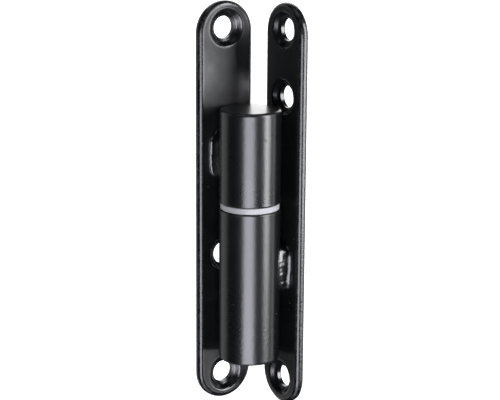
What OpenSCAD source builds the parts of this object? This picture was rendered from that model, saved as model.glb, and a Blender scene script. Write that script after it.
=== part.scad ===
// Screw-on lift-off hinge: two round-ended leaves, a two-piece knuckle barrel,
// a fixed pin and a thrust washer. Each knuckle is welded to the face of its
// own leaf. All sizes are in millimetres.
//
// The origin is the middle of the frame leaf's back face, the face that is
// screwed to the frame. +Z runs up the hinge, +X runs across the frame leaf
// towards its outer edge, and +Y points into the frame.

/* [Leaves] */
// Length of each leaf along the hinge
leaf_l = 100.6; // [90:0.2:140]
// Width of each leaf, and the diameter of its round ends
leaf_w = 15.2; // [15:0.1:20]
// Thickness of each leaf
leaf_t = 2.4; // [2.4:0.1:4]
// Rounding of the leaf's front edge
leaf_edge_front = 1.1; // [0.4:0.05:1.2]
// Rounding of the leaf's back edge
leaf_edge_back = 0.9; // [0.3:0.05:1.1]
// How far the middle of each leaf lies outward of the hinge axis
leaf_shift = 2.0; // [1.5:0.1:5]

/* [Screw holes] */
// Diameter of the screw holes
hole_d = 5.5; // [4:0.1:5.6]
// Diameter at which the dish for the screw head meets the leaf's face
sink_d = 9.0; // [8.8:0.1:10]
// Depth of the dish's steep wall
sink_wall = 1.0; // [0.7:0.1:1.2]
// Slope of the dish's wall against the leaf's face, in degrees
wall_slope = 45; // [40:1:60]
// Slope of the dish's floor against the leaf's face, in degrees
floor_slope = 25; // [10:1:28]
// Radius of the dish's rounded rim
sink_rim = 0.8; // [0.3:0.05:1]
// Radius of the hollow corner between the dish's wall and its floor
sink_corner = 0.9; // [0.4:0.1:1]
// Radius of the rounded throat where the dish's floor meets the hole
sink_throat = 0.5; // [0.3:0.05:0.6]
// Distance between the two end holes of a leaf
hole_pitch = 87.5; // [80:0.5:88]
// Height of the frame leaf's third hole above the middle of the leaf
frame_mid_hole = 27.5; // [26:0.5:32]
// Height of the door leaf's third hole above the middle of the leaf
door_mid_hole = -12.5; // [-20:0.5:-10]

/* [Barrel] */
// Outer diameter of the knuckles
knuckle_d = 15; // [14:0.5:16]
// Clear gap between a knuckle and the leaves' faces
knuckle_gap = 0.3; // [0.2:0.05:0.6]
// Height of the lower knuckle's bottom end
barrel_bottom = -37.6; // [-38:0.1:-30]
// Length of the lower knuckle
lower_l = 38.2; // [30:0.1:40]
// Length of the upper knuckle
upper_l = 23.0; // [20:0.1:25]
// Rounding of the barrel's top and bottom ends
end_round = 0.8; // [0.3:0.1:1.2]
// Rounding of the knuckle edges that face the washer
inner_round = 0.4; // [0.2:0.05:0.6]

/* [Pin and washer] */
// Diameter of the pin
pin_d = 8; // [7:0.5:9]
// Length of pin pressed into the lower knuckle
pin_in_lower = 22; // [18:1:28]
// Length of pin standing inside the upper knuckle
pin_in_upper = 17.5; // [14:0.5:18]
// Radial clearance between the pin and the upper knuckle's bore
pin_clearance = 0.05; // [0.02:0.01:0.1]
// Depth of the upper knuckle's blind bore past the pin's tip
bore_spare = 1.0; // [0.5:0.1:2]
// Outer diameter of the thrust washer
washer_d = 14.4; // [13:0.1:14.8]
// Thickness of the thrust washer
washer_t = 1.5; // [1:0.1:2]
// Radial clearance between the pin and the thrust washer
washer_clearance = 0.08; // [0.03:0.01:0.1]

/* [Welds] */
// Height of the middle of the upper knuckle's weld beads
upper_weld_z = 13.0; // [10:0.5:15]
// Height of the middle of the lower knuckle's weld beads
lower_weld_z = -14.5; // [-22:0.5:-14]
// Length of each outer weld bead
weld_l = 13.5; // [10:0.5:16]
// Length of each inner weld bead
weld_inner_l = 11; // [8:0.5:14]
// Radius of an outer bead at its middle
weld_r = 2.75; // [2.2:0.05:3]
// Radius of an inner bead at its middle
weld_inner_r = 1.4; // [1.2:0.05:1.4]

/* [Hidden] */
$fn = 96;
kr = knuckle_d / 2;
// distance from the hinge axis to the front face of either leaf
face_d = kr + knuckle_gap;
// hinge axis in the part's frame
axis_x = -leaf_shift;
axis_y = -(face_d + leaf_t);
lower_top = barrel_bottom + lower_l;
upper_bottom = lower_top + washer_t;
barrel_top = upper_bottom + upper_l;
coat = [0.08, 0.08, 0.085];
bright = [0.80, 0.81, 0.83];
steel = [0.62, 0.62, 0.63];

// places a leaf-side shape on the hinge axis. In the shape's own frame the
// axis is the Z axis, the leaf's front face is the plane y = face_d, and +X
// runs towards the leaf's outer edge. side 0 is the frame leaf; side 1 is the
// door leaf, a mirror image turned a quarter turn from it.
module on_side(side) {
    translate([axis_x, axis_y, 0])
        if (side == 0) children();
        else rotate([0, 0, 90]) mirror([1, 0, 0]) children();
}

// half of a leaf's cross-section, from its middle plane to its outer edge:
// x is the half width, y the thickness from the front face
module leaf_half(w) {
    fe = leaf_edge_front;
    be = leaf_edge_back;
    difference() {
        square([w, leaf_t]);
        translate([w - fe, 0]) difference() {
            translate([0, -1]) square([fe + 1, fe + 1]);
            translate([0, fe]) circle(r = fe);
        }
        translate([w - be, leaf_t - be]) difference() {
            square([be + 1, be + 1]);
            circle(r = be);
        }
    }
}

// flat bar with full round ends and rounded edges, front face on y = 0
module leaf_blank() {
    w = leaf_w / 2;
    straight = leaf_l - leaf_w;
    translate([0, 0, -straight / 2]) linear_extrude(straight) {
        leaf_half(w);
        mirror([1, 0]) leaf_half(w);
    }
    for (s = [1, -1])
        translate([0, 0, s * straight / 2])
            rotate([-90, 0, 0]) rotate([0, 0, s > 0 ? 180 : 0])
                rotate_extrude(angle = 180, $fn = 128) leaf_half(w);
}

// cutter for one dished screw hole, axis along Y, leaf face on y = 0. The
// dish has a steep wall and a flatter floor; its rim, its hollow corner and
// its throat are arcs tangent to the faces they join.
module screw_hole() {
    hr = hole_d / 2;
    sr = sink_d / 2;
    // corner of the wall and the floor, and depth at which the floor would
    // reach the hole
    cr = sr - sink_wall / tan(wall_slope);
    fw = sink_wall + (cr - hr) * tan(floor_slope);
    // tangent lengths of the three arcs
    t1 = sink_rim * tan(wall_slope / 2);
    t2 = sink_corner * tan((wall_slope - floor_slope) / 2);
    t3 = sink_throat * tan((90 - floor_slope) / 2);
    // ends and middle of the hollow corner's arc
    ax = cr + t2 * cos(wall_slope);
    ay = sink_wall - t2 * sin(wall_slope);
    bx = cr - t2 * cos(floor_slope);
    by = sink_wall + t2 * sin(floor_slope);
    rotate([-90, 0, 0]) rotate_extrude() {
        translate([0, -1]) square([hr, leaf_t + 2]);
        difference() {
            polygon([[0, -1], [sr, -1], [sr, 0], [cr, sink_wall], [hr, fw], [0, fw]]);
            difference() {
                polygon([[ax, ay], [ax + 0.2 * sin(wall_slope), ay + 0.2 * cos(wall_slope)],
                         [cr + 0.2, sink_wall + 0.4],
                         [bx + 0.2 * sin(floor_slope), by + 0.2 * cos(floor_slope)], [bx, by]]);
                translate([ax - sink_corner * sin(wall_slope), ay - sink_corner * cos(wall_slope)])
                    circle(r = sink_corner);
            }
        }
        difference() {
            polygon([[sr - 0.1, -1], [sr + t1, -1], [sr + t1, 0],
                     [sr - t1 * cos(wall_slope), t1 * sin(wall_slope)], [sr - 0.1, 0]]);
            translate([sr + t1, sink_rim]) circle(r = sink_rim);
        }
        difference() {
            polygon([[hr - 0.2, fw - 0.2],
                     [hr + t3 * cos(floor_slope), fw - t3 * sin(floor_slope)],
                     [hr, fw], [hr, fw + t3], [hr - 0.2, fw + t3]]);
            translate([hr + sink_throat, fw + t3]) circle(r = sink_throat);
        }
    }
}

module leaf(mid_hole) {
    translate([leaf_shift, face_d, 0]) difference() {
        leaf_blank();
        for (z = [hole_pitch / 2, -hole_pitch / 2, mid_hole])
            translate([0, 0, z]) screw_hole();
    }
}

module frame_leaf() {
    color(coat) on_side(0) leaf(frame_mid_hole);
}

module door_leaf() {
    color(coat) on_side(1) leaf(door_mid_hole);
}

// profile of a turned knuckle from z = 0 to l, with its lower and upper outer
// edges rounded
module knuckle_profile(l, low, high) {
    difference() {
        square([kr, l]);
        translate([kr - low, 0]) difference() {
            translate([0, -1]) square([low + 1, low + 1]);
            translate([0, low]) circle(r = low);
        }
        translate([kr - high, l - high]) difference() {
            square([high + 1, high + 1]);
            circle(r = high);
        }
    }
}

// long knuckle with a blind bore that the pin is pressed into
module lower_knuckle() {
    color(coat) translate([axis_x, axis_y, barrel_bottom])
        rotate_extrude() difference() {
            knuckle_profile(lower_l, end_round, inner_round);
            translate([-1, lower_l - pin_in_lower])
                square([1 + pin_d / 2, pin_in_lower + 1]);
        }
}

// short knuckle, closed on top, with the blind bore that turns on the pin
module upper_knuckle() {
    br = pin_d / 2 + pin_clearance;
    color(coat) translate([axis_x, axis_y, upper_bottom])
        rotate_extrude() difference() {
            knuckle_profile(upper_l, inner_round, end_round);
            translate([-1, -1]) square([1 + br, 1 + pin_in_upper + bore_spare]);
            // lead-in chamfer at the mouth
            polygon([[0, -1], [br + 0.5, -1], [br + 0.5, 0], [br, 0.5], [0, 0.5]]);
        }
}

// turned pin, pressed into the lower knuckle, with a chamfered tip
module hinge_pin() {
    l = pin_in_lower + washer_t + pin_in_upper;
    pr = pin_d / 2;
    color(steel) translate([axis_x, axis_y, lower_top - pin_in_lower])
        rotate_extrude() difference() {
            polygon([[0, 0], [pr - 0.4, 0], [pr, 0.4], [pr, l - 1],
                     [pr - 0.8, l], [0, l]]);
        }
}

// ring between the two knuckles that carries the door's weight
module thrust_washer() {
    wr = washer_d / 2;
    e = 0.2;
    color(bright) translate([axis_x, axis_y, lower_top])
        rotate_extrude() difference() {
            translate([pin_d / 2 + washer_clearance, 0])
                square([wr - pin_d / 2 - washer_clearance, washer_t]);
            translate([wr - e, 0]) difference() {
                translate([0, -1]) square([e + 1, e + 1]);
                translate([0, e]) circle(r = e);
            }
            translate([wr - e, washer_t - e]) difference() {
                square([e + 1, e + 1]);
                circle(r = e);
            }
        }
}

// a fillet bead: a spindle along Z in the wedge between a knuckle and its
// leaf's face, cut back to both surfaces. u is how far the spindle's middle
// line lies across the leaf from the hinge axis; it runs halfway between the
// two surfaces. Its thin tips are cut square, end_r across the middle line.
module bead(u, r, l) {
    end_r = 0.7;
    v = (sqrt(kr * kr - u * u) + face_d) / 2;
    // radius of the arc whose chord is l and whose height is r
    arc = (l * l / 4 + r * r) / (2 * r);
    half = sqrt(arc * arc - pow(arc - r + end_r, 2));
    difference() {
        intersection() {
            translate([u, v, 0]) rotate_extrude() intersection() {
                translate([r - arc, 0]) circle(r = arc, $fn = 180);
                translate([0, -half]) square([r + 1, 2 * half]);
            }
            translate([-20, 0, -l]) cube([40, face_d, 2 * l]);
        }
        translate([0, 0, -l - 1]) cylinder(r = kr, h = 2 * l + 2);
    }
}

module outer_bead() {
    bead(4.2, weld_r, weld_l);
}

module inner_bead() {
    bead(-3.05, weld_inner_r, weld_inner_l);
}

module lower_weld_outer() {
    color(coat) on_side(0) translate([0, 0, lower_weld_z]) outer_bead();
}

module lower_weld_inner() {
    color(coat) on_side(0) translate([0, 0, lower_weld_z]) inner_bead();
}

module upper_weld_outer() {
    color(coat) on_side(1) translate([0, 0, upper_weld_z]) outer_bead();
}

module upper_weld_inner() {
    color(coat) on_side(1) translate([0, 0, upper_weld_z]) inner_bead();
}

frame_leaf();
door_leaf();
lower_knuckle();
upper_knuckle();
hinge_pin();
thrust_washer();
lower_weld_outer();
lower_weld_inner();
upper_weld_outer();
upper_weld_inner();
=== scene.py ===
import bpy
import bmesh
import math
from mathutils import Matrix, Vector, noise


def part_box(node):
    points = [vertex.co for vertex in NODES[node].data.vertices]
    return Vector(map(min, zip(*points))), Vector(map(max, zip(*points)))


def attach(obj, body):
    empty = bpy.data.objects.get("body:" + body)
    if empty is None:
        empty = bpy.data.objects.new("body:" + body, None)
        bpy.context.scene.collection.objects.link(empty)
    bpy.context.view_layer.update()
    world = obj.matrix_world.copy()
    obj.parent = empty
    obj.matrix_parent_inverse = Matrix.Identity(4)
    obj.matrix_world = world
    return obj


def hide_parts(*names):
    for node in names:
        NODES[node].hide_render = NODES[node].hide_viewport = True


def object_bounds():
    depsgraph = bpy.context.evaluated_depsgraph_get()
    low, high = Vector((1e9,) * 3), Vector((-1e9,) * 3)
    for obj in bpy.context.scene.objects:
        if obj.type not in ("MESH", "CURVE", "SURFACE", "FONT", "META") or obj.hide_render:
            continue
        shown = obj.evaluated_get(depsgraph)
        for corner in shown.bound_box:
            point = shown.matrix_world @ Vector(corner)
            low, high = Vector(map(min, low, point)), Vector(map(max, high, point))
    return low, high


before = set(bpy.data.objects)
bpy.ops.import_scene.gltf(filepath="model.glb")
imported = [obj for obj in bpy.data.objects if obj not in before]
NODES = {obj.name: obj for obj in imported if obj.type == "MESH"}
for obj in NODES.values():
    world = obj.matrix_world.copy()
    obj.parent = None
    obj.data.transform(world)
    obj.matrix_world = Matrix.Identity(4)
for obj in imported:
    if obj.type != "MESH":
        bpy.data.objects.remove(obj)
cad_lo, cad_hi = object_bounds()
MM = 0.001

# ---------------------------------------------------------------- places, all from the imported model
_klo, _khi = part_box("lower_knuckle")
AX, AY = (_klo.x + _khi.x) / 2, (_klo.y + _khi.y) / 2      # hinge axis
KR = (_khi.x - _klo.x) / 2                                  # knuckle radius
_flo, _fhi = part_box("frame_leaf")
_dlo, _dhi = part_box("door_leaf")
LEAF_W = _fhi.x - _flo.x
LEAF_H = _fhi.z - _flo.z
FACE = _flo.y - AY                                          # axis to a leaf's front face
SHIFT = (_flo.x + _fhi.x) / 2 - AX                          # leaf's middle from the axis
FLOOR_Z = cad_lo.z


# ---------------------------------------------------------------- camera, at the photograph's viewing angle
def make_camera():
    az, pitch, roll = math.radians(57.0), math.radians(13.944), math.radians(0.396)
    focal = 1620.0                                          # in pixels of a 500-pixel-wide frame
    dist, height = 0.38195, 0.09739
    fwd = Vector((-math.sin(az) * math.cos(pitch), math.cos(az) * math.cos(pitch), -math.sin(pitch)))
    right = Vector((math.cos(az), math.sin(az), 0))
    up = right.cross(fwd)
    ri = right * math.cos(roll) + up * math.sin(roll)
    ui = -right * math.sin(roll) + up * math.cos(roll)
    cam = bpy.data.cameras.new("camera")
    cam.sensor_fit = "HORIZONTAL"
    cam.sensor_width = 36.0
    cam.lens = focal * 36.0 / 500.0
    cam.clip_start, cam.clip_end = 0.01, 50
    ob = bpy.data.objects.new("camera", cam)
    m = Matrix((ri, ui, -fwd)).transposed().to_4x4()
    m.translation = Vector((AX + math.sin(az) * dist, AY - math.cos(az) * dist, height))
    ob.matrix_world = m
    bpy.context.scene.collection.objects.link(ob)
    bpy.context.scene.camera = ob
    return az


CAM_AZ = make_camera()


def direction(phi, el):
    """Unit vector from the object: phi degrees to the camera's right of the direction to the camera, el degrees up."""
    a = CAM_AZ + math.radians(phi)
    e = math.radians(el)
    return Vector((math.sin(a) * math.cos(e), -math.cos(a) * math.cos(e), math.sin(e)))


# ---------------------------------------------------------------- node helpers
class Tree:
    def __init__(self, name):
        self.mat = bpy.data.materials.new(name)
        self.mat.use_nodes = True
        self.nt = self.mat.node_tree
        self.nt.nodes.clear()
        self.out = self.nt.nodes.new("ShaderNodeOutputMaterial")
        self.bsdf = self.nt.nodes.new("ShaderNodeBsdfPrincipled")
        self.nt.links.new(self.bsdf.outputs["BSDF"], self.out.inputs["Surface"])
        self.co = self.nt.nodes.new("ShaderNodeTexCoord").outputs["Object"]

    def link(self, a, b):
        self.nt.links.new(a, b)

    def put(self, sock, v):
        if isinstance(v, bpy.types.NodeSocket):
            self.link(v, sock)
        else:
            sock.default_value = v

    def math(self, op, a, b=0.0, c=None, clamp=False):
        n = self.nt.nodes.new("ShaderNodeMath")
        n.operation = op
        n.use_clamp = clamp
        self.put(n.inputs[0], a)
        self.put(n.inputs[1], b)
        if c is not None:
            self.put(n.inputs[2], c)
        return n.outputs[0]

    def mapping(self, vec, scale=(1, 1, 1), loc=(0, 0, 0), rot=(0, 0, 0)):
        n = self.nt.nodes.new("ShaderNodeMapping")
        self.link(vec, n.inputs["Vector"])
        n.inputs["Location"].default_value = loc
        n.inputs["Rotation"].default_value = rot
        n.inputs["Scale"].default_value = scale
        return n.outputs[0]

    def noise(self, vec, scale, detail=3.0, rough=0.5, dist=0.0, kind="FBM"):
        n = self.nt.nodes.new("ShaderNodeTexNoise")
        self.link(vec, n.inputs["Vector"])
        n.inputs["Scale"].default_value = scale
        n.inputs["Detail"].default_value = detail
        n.inputs["Roughness"].default_value = rough
        n.inputs["Distortion"].default_value = dist
        return n.outputs["Fac"]

    def voronoi(self, vec, scale, feature="F1", rand=1.0):
        n = self.nt.nodes.new("ShaderNodeTexVoronoi")
        n.feature = feature
        self.link(vec, n.inputs["Vector"])
        n.inputs["Scale"].default_value = scale
        n.inputs["Randomness"].default_value = rand
        return n.outputs["Distance"]

    def remap(self, v, a, b, c, d, smooth=False):
        n = self.nt.nodes.new("ShaderNodeMapRange")
        n.interpolation_type = "SMOOTHSTEP" if smooth else "LINEAR"
        self.link(v, n.inputs["Value"])
        for k, x in zip(("From Min", "From Max", "To Min", "To Max"), (a, b, c, d)):
            n.inputs[k].default_value = x
        return n.outputs["Result"]

    def mix(self, fac, a, b):
        n = self.nt.nodes.new("ShaderNodeMix")
        n.data_type = "RGBA"
        self.put(n.inputs[0], fac)
        self.put(n.inputs[6], a if isinstance(a, bpy.types.NodeSocket) else (*a, 1.0))
        self.put(n.inputs[7], b if isinstance(b, bpy.types.NodeSocket) else (*b, 1.0))
        return n.outputs[2]

    def bump(self, height, distance, strength=1.0, normal=None):
        n = self.nt.nodes.new("ShaderNodeBump")
        n.inputs["Strength"].default_value = strength
        n.inputs["Distance"].default_value = distance
        self.link(height, n.inputs["Height"])
        if normal is not None:
            self.link(normal, n.inputs["Normal"])
        return n.outputs["Normal"]

    def split(self, vec):
        n = self.nt.nodes.new("ShaderNodeSeparateXYZ")
        self.link(vec, n.inputs[0])
        return n.outputs[0], n.outputs[1], n.outputs[2]

    def combine(self, x, y, z):
        n = self.nt.nodes.new("ShaderNodeCombineXYZ")
        for s, v in zip(n.inputs, (x, y, z)):
            self.put(s, v)
        return n.outputs[0]


# ---------------------------------------------------------------- black powder coat
def powder_coat(name, seed=0.0, edge=None, rough=(0.25, 0.33), peel=1.0, ior=1.5, turned=False, flat=None):
    """Semi-gloss black powder coat: orange peel, fine grain, cloudy gloss, dust nibs, faint rubs, thin coat on edges."""
    t = Tree(name)
    p = t.mapping(t.co, loc=(seed * 0.013, seed * -0.007, seed * 0.021))
    cloud = t.noise(p, 55.0, 4.0, 0.55)
    mottle = t.noise(p, 420.0, 3.0, 0.6)
    grain = t.noise(p, 3200.0, 2.0, 0.5)
    peel_h = t.noise(p, 1150.0, 2.0, 0.45)
    # long faint rub marks, mostly across the hinge
    rub_p = t.mapping(p, scale=(160.0, 160.0, 2600.0), rot=(0.25, 0.1, 0.0))
    rub = t.noise(rub_p, 1.0, 2.0, 0.7)
    rub_m = t.remap(rub, 0.66, 0.74, 0.0, 1.0, True)
    rub_area = t.remap(t.noise(p, 38.0, 1.0, 0.5), 0.52, 0.68, 0.0, 1.0, True)
    rub_m = t.math("MULTIPLY", rub_m, rub_area)
    # dust nibs under the coat
    nib = t.voronoi(p, 380.0)
    nib_m = t.remap(nib, 0.05, 0.12, 1.0, 0.0, True)
    nib_pick = t.remap(t.noise(p, 190.0, 0.0, 0.5), 0.60, 0.66, 0.0, 1.0, True)
    nib_m = t.math("MULTIPLY", nib_m, nib_pick)
    # colour
    base = t.mix(t.remap(cloud, 0.3, 0.7, 0.0, 1.0), (0.0006, 0.0010, 0.0014), (0.0012, 0.0017, 0.0022))
    base = t.mix(t.remap(mottle, 0.35, 0.75, 0.0, 0.35), base, (0.0026, 0.0030, 0.0035))
    base = t.mix(t.math("MULTIPLY", rub_m, 0.35), base, (0.010, 0.010, 0.011))
    base = t.mix(t.math("MULTIPLY", nib_m, 0.3), base, (0.018, 0.018, 0.020))
    # gloss
    r = t.remap(cloud, 0.25, 0.75, rough[0], rough[1])
    if flat is not None:
        # the flat faces look duller than the edges and the dishes
        dull = t.remap(t.noise(p, 95.0, 4.0, 0.6), 0.32, 0.68, 0.10, 0.25)
        flat_m, out_m = flat(t)
        r = t.math("ADD", r, t.math("MULTIPLY", flat_m, dull))
        # a look setting, not a real metal content: with a near-black base it lowers the mirror strength of the faces
        flake = t.math("ADD", t.math("MULTIPLY", out_m, 0.24), t.math("MULTIPLY", flat_m, 0.24))
        t.link(flake, t.bsdf.inputs["Metallic"])
    r = t.math("ADD", r, t.remap(grain, 0.3, 0.7, -0.012, 0.012))
    r = t.math("ADD", r, t.math("MULTIPLY", rub_m, 0.07))
    if edge is not None:
        wear = edge(t)
        broken = t.remap(t.noise(p, 700.0, 3.0, 0.7), 0.42, 0.62, 0.0, 1.0, True)
        wm = t.math("MULTIPLY", wear, broken)
        base = t.mix(t.math("MULTIPLY", wm, 0.55), base, (0.016, 0.016, 0.017))
        r = t.math("ADD", r, t.math("MULTIPLY", wm, 0.04))
    t.link(base, t.bsdf.inputs["Base Color"])
    t.link(r, t.bsdf.inputs["Roughness"])
    t.bsdf.inputs["IOR"].default_value = ior
    # relief
    n1 = t.bump(peel_h, 0.000018 * peel, 1.0)
    if edge is not None:
        # the sheared or turned edge underneath shows through the coat
        lumps = t.math("MULTIPLY", t.noise(p, 1500.0, 2.0, 0.6), wear)
        n1 = t.bump(lumps, 0.000022, 1.0, n1)
    if turned:
        # faint turning marks under the coat, running round the barrel
        marks = t.noise(t.mapping(p, scale=(40.0, 40.0, 1500.0)), 1.0, 3.0, 0.55)
        n1 = t.bump(marks, 0.000010, 1.0, n1)
    n2 = t.bump(grain, 0.0000016, 1.0, n1)
    n3 = t.bump(nib_m, 0.00003, 1.0, n2)
    t.link(n3, t.bsdf.inputs["Normal"])
    return t.mat


def leaf_edge(side):
    """Mask that is 1 on the rounded edge of a leaf's outline, from the part's own size."""
    def make(t):
        x, y, z = t.split(t.co)
        if side == "frame":
            u = t.math("SUBTRACT", x, (_flo.x + _fhi.x) / 2)
        else:
            u = t.math("SUBTRACT", y, (_dlo.y + _dhi.y) / 2)
        over = t.math("MAXIMUM", t.math("SUBTRACT", t.math("ABSOLUTE", z), LEAF_H / 2 - LEAF_W / 2), 0.0)
        d = t.math("SQRT", t.math("ADD", t.math("MULTIPLY", u, u), t.math("MULTIPLY", over, over)))
        return t.remap(d, LEAF_W / 2 - 0.0011, LEAF_W / 2 - 0.0005, 0.0, 1.0, True)
    return make


def leaf_flat(side):
    """Two masks: 1 on a leaf's flat faces only, and 1 everywhere but in the dishes round its screw holes."""
    def make(t):
        x, y, z = t.split(t.co)
        if side == "frame":
            u = t.math("SUBTRACT", x, (_flo.x + _fhi.x) / 2)
            holes = (0.04375, 0.0275, -0.04375)
            depth = t.math("SUBTRACT", y, _flo.y)
        else:
            u = t.math("SUBTRACT", y, (_dlo.y + _dhi.y) / 2)
            holes = (0.04375, -0.0125, -0.04375)
            depth = t.math("SUBTRACT", _dhi.x, x)
        uu = t.math("MULTIPLY", u, u)
        over = t.math("MAXIMUM", t.math("SUBTRACT", t.math("ABSOLUTE", z), LEAF_H / 2 - LEAF_W / 2), 0.0)
        d = t.math("SQRT", t.math("ADD", uu, t.math("MULTIPLY", over, over)))
        m = t.remap(d, LEAF_W / 2 - 0.0016, LEAF_W / 2 - 0.0009, 1.0, 0.0, True)
        out = 1.0
        for h in holes:
            dz = t.math("SUBTRACT", z, h)
            q = t.math("SQRT", t.math("ADD", uu, t.math("MULTIPLY", dz, dz)))
            out = t.math("MULTIPLY", t.remap(q, 0.0046, 0.0052, 0.0, 1.0, True), out)
        # the back face has no dishes
        out = t.math("MAXIMUM", out, t.remap(depth, 0.0021, 0.0023, 0.0, 1.0, True))
        return t.math("MULTIPLY", m, out), out
    return make


def knuckle_edge(node):
    lo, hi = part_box(node)

    def make(t):
        x, y, z = t.split(t.co)
        top = t.remap(z, hi.z - 0.0009, hi.z - 0.0003, 0.0, 1.0, True)
        low = t.remap(z, lo.z + 0.0003, lo.z + 0.0009, 1.0, 0.0, True)
        dx = t.math("SUBTRACT", x, AX)
        dy = t.math("SUBTRACT", y, AY)
        d = t.math("SQRT", t.math("ADD", t.math("MULTIPLY", dx, dx), t.math("MULTIPLY", dy, dy)))
        rim = t.remap(d, KR - 0.0009, KR - 0.0004, 0.0, 1.0, True)
        return t.math("MULTIPLY", rim, t.math("MAXIMUM", top, low))
    return make


# ---------------------------------------------------------------- bright metal
def washer_metal(name):
    """Bright washer: satin, with turning marks and slight greying. Metallic is below 1 only to match its even light grey."""
    t = Tree(name)
    x, y, z = t.split(t.co)
    dx = t.math("SUBTRACT", x, AX)
    dy = t.math("SUBTRACT", y, AY)
    d = t.math("SQRT", t.math("ADD", t.math("MULTIPLY", dx, dx), t.math("MULTIPLY", dy, dy)))
    ang = t.math("ARCTAN2", dy, dx)
    rings = t.noise(t.combine(t.math("MULTIPLY", d, 9000.0), t.math("MULTIPLY", ang, 2.0), t.math("MULTIPLY", z, 9000.0)), 1.0, 3.0, 0.6)
    cloud = t.noise(t.co, 260.0, 4.0, 0.6)
    fleck = t.noise(t.co, 2600.0, 2.0, 0.6)
    base = t.mix(t.remap(cloud, 0.3, 0.7, 0.0, 1.0), (0.275, 0.277, 0.285), (0.235, 0.237, 0.245))
    base = t.mix(t.remap(fleck, 0.58, 0.70, 0.0, 0.5, True), base, (0.18, 0.18, 0.19))
    t.link(base, t.bsdf.inputs["Base Color"])
    t.bsdf.inputs["Metallic"].default_value = 0.55
    r = t.math("ADD", t.remap(rings, 0.3, 0.7, 0.66, 0.78), t.remap(cloud, 0.3, 0.7, -0.03, 0.04))
    t.link(r, t.bsdf.inputs["Roughness"])
    n1 = t.bump(rings, 0.000006, 1.0)
    n2 = t.bump(fleck, 0.000004, 1.0, n1)
    t.link(n2, t.bsdf.inputs["Normal"])
    return t.mat


def pin_metal(name):
    """Turned steel pin under a thin film of grease: fine feed marks, a few darker wear bands."""
    t = Tree(name)
    x, y, z = t.split(t.co)
    dx = t.math("SUBTRACT", x, AX)
    dy = t.math("SUBTRACT", y, AY)
    ang = t.math("ARCTAN2", dy, dx)
    feed = t.math("SINE", t.math("MULTIPLY", z, 2 * math.pi / 0.00016))
    lines = t.noise(t.combine(t.math("MULTIPLY", ang, 1.2), 0.0, t.math("MULTIPLY", z, 6500.0)), 1.0, 3.0, 0.6)
    smear = t.noise(t.mapping(t.co, scale=(260.0, 260.0, 90.0)), 1.0, 4.0, 0.6, 0.4)
    base = t.mix(t.remap(lines, 0.3, 0.7, 0.0, 1.0), (0.56, 0.56, 0.57), (0.42, 0.42, 0.43))
    base = t.mix(t.remap(smear, 0.45, 0.75, 0.0, 0.6, True), base, (0.20, 0.18, 0.15))
    t.link(base, t.bsdf.inputs["Base Color"])
    t.bsdf.inputs["Metallic"].default_value = 1.0
    r = t.math("ADD", t.remap(lines, 0.3, 0.7, 0.20, 0.32), t.remap(smear, 0.4, 0.8, -0.03, 0.10))
    t.link(r, t.bsdf.inputs["Roughness"])
    n1 = t.bump(feed, 0.0000012, 1.0)
    n2 = t.bump(lines, 0.000003, 1.0, n1)
    t.link(n2, t.bsdf.inputs["Normal"])
    return t.mat


def assign(node, mat):
    ob = NODES[node]
    if not ob.material_slots:
        ob.data.materials.append(mat)
    for s in ob.material_slots:
        s.material = mat


assign("frame_leaf", powder_coat("coat_frame_leaf", 1.0, leaf_edge("frame"), (0.22, 0.29), 1.0, 1.5, False, leaf_flat("frame")))
assign("door_leaf", powder_coat("coat_door_leaf", 2.0, leaf_edge("door"), (0.22, 0.29), 1.0, 1.5, False, leaf_flat("door")))
assign("lower_knuckle", powder_coat("coat_lower_knuckle", 3.0, knuckle_edge("lower_knuckle"), (0.25, 0.33), 1.0, 1.5, True))
assign("upper_knuckle", powder_coat("coat_upper_knuckle", 4.0, knuckle_edge("upper_knuckle"), (0.25, 0.33), 1.0, 1.5, True))
assign("thrust_washer", washer_metal("zinc_washer"))
assign("hinge_pin", pin_metal("steel_pin"))


# ---------------------------------------------------------------- weld beads
def side_point(side, u, v, z):
    """(u across the leaf, v away from the axis, z) on one leaf's side of the hinge, in the row frame."""
    if side == "frame":
        return Vector((AX + u, AY + v, z))
    return Vector((AX - v, AY - u, z))


def bezier(p0, p1, p2, p3, t):
    m = 1 - t
    return p0 * (m * m * m) + p1 * (3 * m * m * t) + p2 * (3 * m * t * t) + p3 * (t * t * t)


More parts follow.
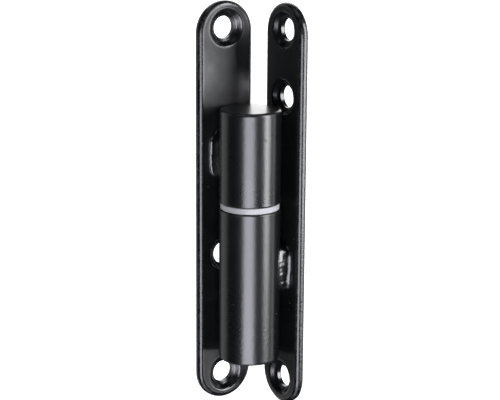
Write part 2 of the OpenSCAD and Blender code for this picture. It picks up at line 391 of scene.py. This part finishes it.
def weld_bead(name, side, node, sign, body, u_toe, ang_toe, belly, bulge, bulge_z, bulge_len, seed, spatter, rugged=0.00006):
    """A fillet of weld metal between a knuckle and its leaf, under the coat: soft toes, a swelling and faint ripples.

    u_toe: where its toe meets the leaf. ang_toe: where it meets the knuckle, in degrees round from the leaf.
    belly: how far out its middle stands. bulge: the extra height of the swelling left where the arc stopped."""
    lo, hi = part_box(node)
    zc, half = (lo.z + hi.z) / 2, (hi.z - lo.z) / 2 + 0.0004
    nz, ns = 170, 44
    bm = bmesh.new()
    rows = []
    for i in range(nz + 1):
        w = -1 + 2 * i / nz
        w = math.copysign(1 - (1 - abs(w)) ** 1.6, w) if abs(w) > 0 else 0.0
        z = w * half
        g = max(0.0, 1 - abs(w) ** 5.0) ** 0.5
        g1 = g * (1 + 0.035 * noise.noise(Vector((z * 600, seed, 0.3))))
        g2 = g * (1 + 0.05 * noise.noise(Vector((z * 500, seed, 7.1))))
        sw = math.exp(-((zc + z - bulge_z) / bulge_len) ** 2)
        root = 0.0019
        t1 = Vector((root + (u_toe - root) * g1, FACE))
        a2 = math.radians(15 + (ang_toe - 15) * g2)
        t2 = Vector((KR * math.sin(a2), KR * math.cos(a2)))
        out = (belly + bulge * sw) * g
        c1 = Vector((t1.x - 0.0016 * g + out * 0.75, FACE - 0.00003))
        c2 = Vector((t2.x - 0.0006 * g + out, t2.y + 0.0011 * g))
        row = []
        for j in range(ns + 1):
            s = j / ns
            p = bezier(t1, c1, c2, t2, s)
            q = bezier(t1, c1, c2, t2, min(1.0, s + 0.01)) - bezier(t1, c1, c2, t2, max(0.0, s - 0.01))
            nrm = Vector((-q.y, q.x))
            nrm = nrm.normalized() if nrm.length > 0 else Vector((1, 0))
            if nrm.x < 0:
                nrm = -nrm
            lag = (2 * s - 1) ** 2
            ph = 2 * math.pi * (z / 0.0012) + lag * 2.4 + 0.9 * noise.noise(Vector((z * 450, s * 3, seed)))
            fade = g * math.sin(math.pi * s) ** 0.8
            lump = noise.noise(Vector((z * 420, s * 2.6, seed + 1.7)))
            ridge = 1 - abs(noise.noise(Vector((z * 310 + s * 1.6, s * 2.2, seed + 5.5)))) * 2
            h = fade * (0.000012 * math.cos(ph) + rugged * lump + rugged * 0.6 * (ridge - 0.6))
            p = p + nrm * h
            row.append(bm.verts.new(side_point(side, sign * p.x, p.y, zc + z)))
        # hidden back of the bead, just inside the leaf and the knuckle
        for q in (t2 * 0.985, Vector((root * 0.6, FACE - 0.00022)), Vector((t1.x, FACE + 0.00012))):
            row.append(bm.verts.new(side_point(side, sign * q.x, q.y, zc + z)))
        rows.append(row)
    m = len(rows[0])
    for a, b in zip(rows, rows[1:]):
        for j in range(m):
            k = (j + 1) % m
            bm.faces.new((a[j], a[k], b[k], b[j]))
    bm.faces.new(rows[0])
    bm.faces.new(list(reversed(rows[-1])))
    # small grains of spatter, fused to the leaf or the knuckle under the coat
    for (kind, a, b, r) in spatter:
        if kind == "leaf":
            c = side_point(side, a, FACE, b)
        else:
            c = side_point(side, KR * math.sin(math.radians(a)), KR * math.cos(math.radians(a)), b)
        made = bmesh.ops.create_icosphere(bm, subdivisions=3, radius=r)
        for v in made["verts"]:
            v.co = Vector((v.co.x, v.co.y, v.co.z * 1.15)) * (1 + 0.12 * noise.noise(v.co * 3000)) + c
    bmesh.ops.recalc_face_normals(bm, faces=bm.faces)
    me = bpy.data.meshes.new(name)
    bm.to_mesh(me)
    bm.free()
    for p in me.polygons:
        p.use_smooth = True
    ob = bpy.data.objects.new(name, me)
    bpy.context.scene.collection.objects.link(ob)
    ob.data.materials.append(powder_coat("coat_" + name, seed, None, (0.20, 0.27), 1.0))
    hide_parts(node)
    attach(ob, body)
    return ob


weld_bead("upper_weld_outer_bead", "door", "upper_weld_outer", 1, "door_side", 0.0069, 55.0, 0.00015, 0.0003, 0.0117, 0.0027, 11.0,
          [("leaf", 0.0084, 0.0195, 0.00018), ("knuckle", 62.0, 0.0203, 0.00018), ("knuckle", 61.0, 0.0052, 0.00016), ("leaf", 0.0071, 0.0052, 0.00012)])
weld_bead("upper_weld_inner_bead", "door", "upper_weld_inner", -1, "door_side", 0.0043, 33.0, 0.00010, 0.0001, 0.0125, 0.002, 12.0, [])
weld_bead("lower_weld_outer_bead", "frame", "lower_weld_outer", 1, "frame_side", 0.0074, 55.0, 0.00015, 0.00032, -0.0116, 0.0024, 13.0,
          [("leaf", 0.0076, -0.0066, 0.00014), ("knuckle", 60.0, -0.0252, 0.00018), ("leaf", 0.0062, -0.0232, 0.00016), ("leaf", 0.0057, -0.0250, 0.0001)], 0.00010)
weld_bead("lower_weld_inner_bead", "frame", "lower_weld_inner", -1, "frame_side", 0.0043, 33.0, 0.00010, 0.0001, -0.015, 0.002, 14.0, [])


# ---------------------------------------------------------------- floor, light
def floor_material():
    t = Tree("floor")
    n = t.noise(t.co, 3.0, 2.0, 0.5)
    t.link(t.mix(n, (0.80, 0.80, 0.80), (0.83, 0.83, 0.83)), t.bsdf.inputs["Base Color"])
    t.bsdf.inputs["Roughness"].default_value = 0.9
    t.bsdf.inputs["Specular IOR Level"].default_value = 0.1
    t.bsdf.inputs["Emission Color"].default_value = (1, 1, 1, 1)
    t.bsdf.inputs["Emission Strength"].default_value = 1.0
    return t.mat


me = bpy.data.meshes.new("floor")
me.from_pydata([(-6, -6, FLOOR_Z), (6, -6, FLOOR_Z), (6, 6, FLOOR_Z), (-6, 6, FLOOR_Z)], [], [(0, 1, 2, 3)])
floor = bpy.data.objects.new("floor", me)
floor.data.materials.append(floor_material())
bpy.context.scene.collection.objects.link(floor)
floor.visible_glossy = False
floor.visible_shadow = False


def softbox(name, phi, el, dist, width, height, radiance, colour=(1, 1, 1)):
    """A rectangular soft light facing the object. radiance is its brightness as seen in a mirror."""
    li = bpy.data.lights.new(name, "AREA")
    li.shape = "RECTANGLE"
    li.size, li.size_y = width, height
    li.energy = radiance * width * height * math.pi
    li.color = colour
    ob = bpy.data.objects.new(name, li)
    d = direction(phi, el)
    ob.location = Vector((AX, AY, 0)) + d * dist
    ob.rotation_mode = "QUATERNION"
    ob.rotation_quaternion = d.to_track_quat("Z", "Y")
    ob.visible_camera = False
    bpy.context.scene.collection.objects.link(ob)
    return ob


softbox("softbox_front", -3, -21, 1.2, 0.80, 0.95, 10.8, (0.995, 0.985, 1.095))
softbox("softbox_right", 65, 9, 1.2, 0.41, 1.20, 20.0, (0.995, 0.99, 1.03))
softbox("softbox_right_wing", 102, -4, 1.2, 0.26, 1.2, 3.2)
softbox("backdrop_left", -128, -5, 1.3, 1.7, 1.9, 0.72)
softbox("backdrop_right", 124, -5, 1.3, 0.65, 1.9, 2.3)
softbox("backdrop", 180, 24, 1.5, 1.6, 1.3, 3.2)
softbox("softbox_top", -40, 72, 1.6, 1.0, 1.0, 1.0)
softbox("softbox_low", 0, -62, 1.3, 0.9, 0.7, 2.6)

world = bpy.data.worlds.new("world")
world.use_nodes = True
bpy.context.scene.world = world
nt = world.node_tree
nt.nodes.clear()
wo = nt.nodes.new("ShaderNodeOutputWorld")
bg = nt.nodes.new("ShaderNodeBackground")
bg2 = nt.nodes.new("ShaderNodeBackground")
mx = nt.nodes.new("ShaderNodeMixShader")
lp = nt.nodes.new("ShaderNodeLightPath")
bg.inputs[0].default_value = (1, 1, 1, 1)
bg.inputs[1].default_value = 0.012
bg2.inputs[0].default_value = (1, 1, 1, 1)
bg2.inputs[1].default_value = 0.95
nt.links.new(lp.outputs["Is Camera Ray"], mx.inputs[0])
nt.links.new(bg.outputs[0], mx.inputs[1])
nt.links.new(bg2.outputs[0], mx.inputs[2])
nt.links.new(mx.outputs[0], wo.inputs[0])

bpy.context.scene.view_settings.view_transform = "Standard"
bpy.context.scene.view_settings.look = "None"
